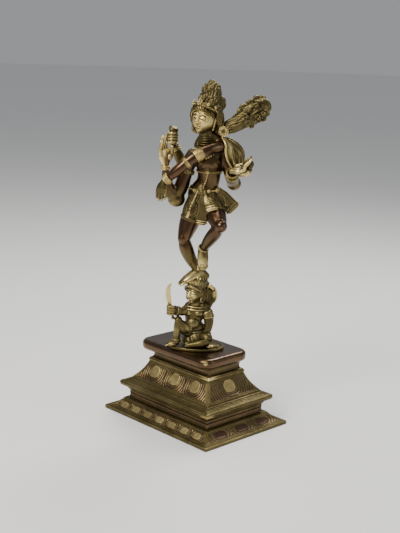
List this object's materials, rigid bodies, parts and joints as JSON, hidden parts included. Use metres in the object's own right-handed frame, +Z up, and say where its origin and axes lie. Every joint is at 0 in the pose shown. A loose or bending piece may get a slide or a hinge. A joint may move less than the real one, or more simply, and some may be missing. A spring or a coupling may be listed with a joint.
{
  "type": "shiva figure",
  "caption": "Cast brass figure of a dancing god who stands on a seated dwarf and an oval plate, set on a stepped oblong plinth with lotus petals.",
  "frame": {"origin": "centre of the plinth's underside", "axes": "+Z up, X along the plinth's long side, -Y out of its front long side; the figure group is turned 37 degrees about +Z from facing -Y"},
  "size_m": [0.16, 0.12, 0.36],
  "materials": {
    "plinth_brass": "dark antique brass with worn gold petals",
    "figure_brass": "antique brass, red-brown on the limbs and polished on the face, hands and knees"
  },
  "bodies": {
    "root": {"plinth": "plinth_brass", "shiva_on_dwarf": "figure_brass"}
  },
  "joints": []
}
